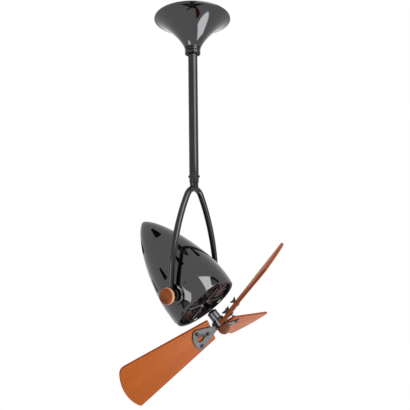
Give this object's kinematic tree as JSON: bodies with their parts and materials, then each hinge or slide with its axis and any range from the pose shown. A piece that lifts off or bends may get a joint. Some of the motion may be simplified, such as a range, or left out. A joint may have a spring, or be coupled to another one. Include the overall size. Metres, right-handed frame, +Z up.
{
  "type": "directional ceiling fan",
  "caption": "Ceiling fan with a bell canopy, a down rod and a bent-tube yoke that holds one vented, tilting motor head with wooden blades.",
  "frame": {"origin": "middle of the flat ceiling face, on the down rod's axis", "axes": "+Z up into the ceiling, X along the head's tilt axis, the head tips towards -Y"},
  "size_m": [0.4479, 0.4037, 0.8964],
  "materials": {
    "gunmetal": "gloss black-nickel plating",
    "black_steel": "blackened steel",
    "zinc_steel": "zinc plated",
    "silicon_steel": "stamped steel sheets",
    "enamel_wire": "red-brown enamelled wire",
    "blade_wood": "satin varnished, orange-brown",
    "cap_wood": "satin varnished, darker brown",
    "black_rubber": "matt",
    "pale_nylon": "matt moulded",
    "black_plastic": "matt moulded"
  },
  "bodies": {
    "mount": {"ceiling_bracket": "zinc_steel", "hanger_pin": "zinc_steel", "hanger_pin_clip": "zinc_steel", "hanger_bush_left": "black_rubber", "hanger_bush_right": "black_rubber", "terminal_block": "pale_nylon", "run_capacitor": "black_plastic"},
    "rod": {"downrod": "gunmetal", "rod_screw_1": "black_steel", "rod_screw_2": "black_steel", "rod_screw_3": "black_steel", "rod_screw_4": "black_steel"},
    "canopy": {"canopy": "gunmetal", "canopy_collar": "gunmetal", "collar_screw": "black_steel"},
    "yoke": {"yoke": "gunmetal", "swivel_stem": "gunmetal"},
    "head": {"motor_shell": "gunmetal", "shell_screw": "black_steel", "pivot_boss_left": "gunmetal", "pivot_boss_right": "gunmetal", "friction_washer_left": "black_rubber", "friction_washer_right": "black_rubber", "knob_washer_left": "zinc_steel", "knob_washer_right": "zinc_steel", "stator_stack": "silicon_steel", "stator_winding": "enamel_wire", "motor_frame_upper": "black_steel", "motor_frame_lower": "black_steel", "motor_bolt_1": "black_steel", "motor_bolt_2": "black_steel", "motor_bolt_3": "black_steel", "motor_bolt_4": "black_steel", "bearing_upper": "zinc_steel", "bearing_lower": "zinc_steel"},
    "rotor": {"rotor_core": "silicon_steel", "motor_shaft": "zinc_steel", "hub": "gunmetal", "hub_cap": "cap_wood", "blade_1": "blade_wood", "blade_bracket_1": "black_steel", "bracket_screw_1": "black_steel", "blade_bolt_1_1": "black_steel", "blade_bolt_1_2": "black_steel", "blade_bolt_1_3": "black_steel", "blade_2": "blade_wood", "blade_bracket_2": "black_steel", "bracket_screw_2": "black_steel", "blade_bolt_2_1": "black_steel", "blade_bolt_2_2": "black_steel", "blade_bolt_2_3": "black_steel", "blade_3": "blade_wood", "blade_bracket_3": "black_steel", "bracket_screw_3": "black_steel", "blade_bolt_3_1": "black_steel", "blade_bolt_3_2": "black_steel", "blade_bolt_3_3": "black_steel"},
    "knob_left": {"knob_left": "blade_wood"},
    "knob_right": {"knob_right": "blade_wood"}
  },
  "joints": [
    {"name": "rod_swing", "type": "hinge", "parent": "mount", "child": "rod", "pos_m": [0, 0, -0.032], "axis": [1, 0, 0], "range_deg": [-1.5, 1.5]},
    {"name": "canopy_slide", "type": "slide", "parent": "rod", "child": "canopy", "axis": [0, 0, -1], "range_m": [0, 0.29]},
    {"name": "yoke_swivel", "type": "hinge", "parent": "rod", "child": "yoke", "pos_m": [0, 0, -0.406], "axis": [0, 0, 1], "range_deg": [-170, 170]},
    {"name": "head_tilt", "type": "hinge", "parent": "yoke", "child": "head", "pos_m": [0, 0, -0.662], "axis": [1, 0, 0], "range_deg": [-46.4, 133.6]},
    {"name": "blade_spin", "type": "hinge", "parent": "head", "child": "rotor", "pos_m": [0, 0, -0.662], "axis": [0, -0.6896, -0.7242], "continuous": true},
    {"name": "knob_left_turn", "type": "hinge", "parent": "head", "child": "knob_left", "pos_m": [-0.115, 0, -0.662], "axis": [-1, 0, 0], "range_deg": [-180, 180]},
    {"name": "knob_right_turn", "type": "hinge", "parent": "head", "child": "knob_right", "pos_m": [0.115, 0, -0.662], "axis": [1, 0, 0], "range_deg": [-180, 180]}
  ]
}
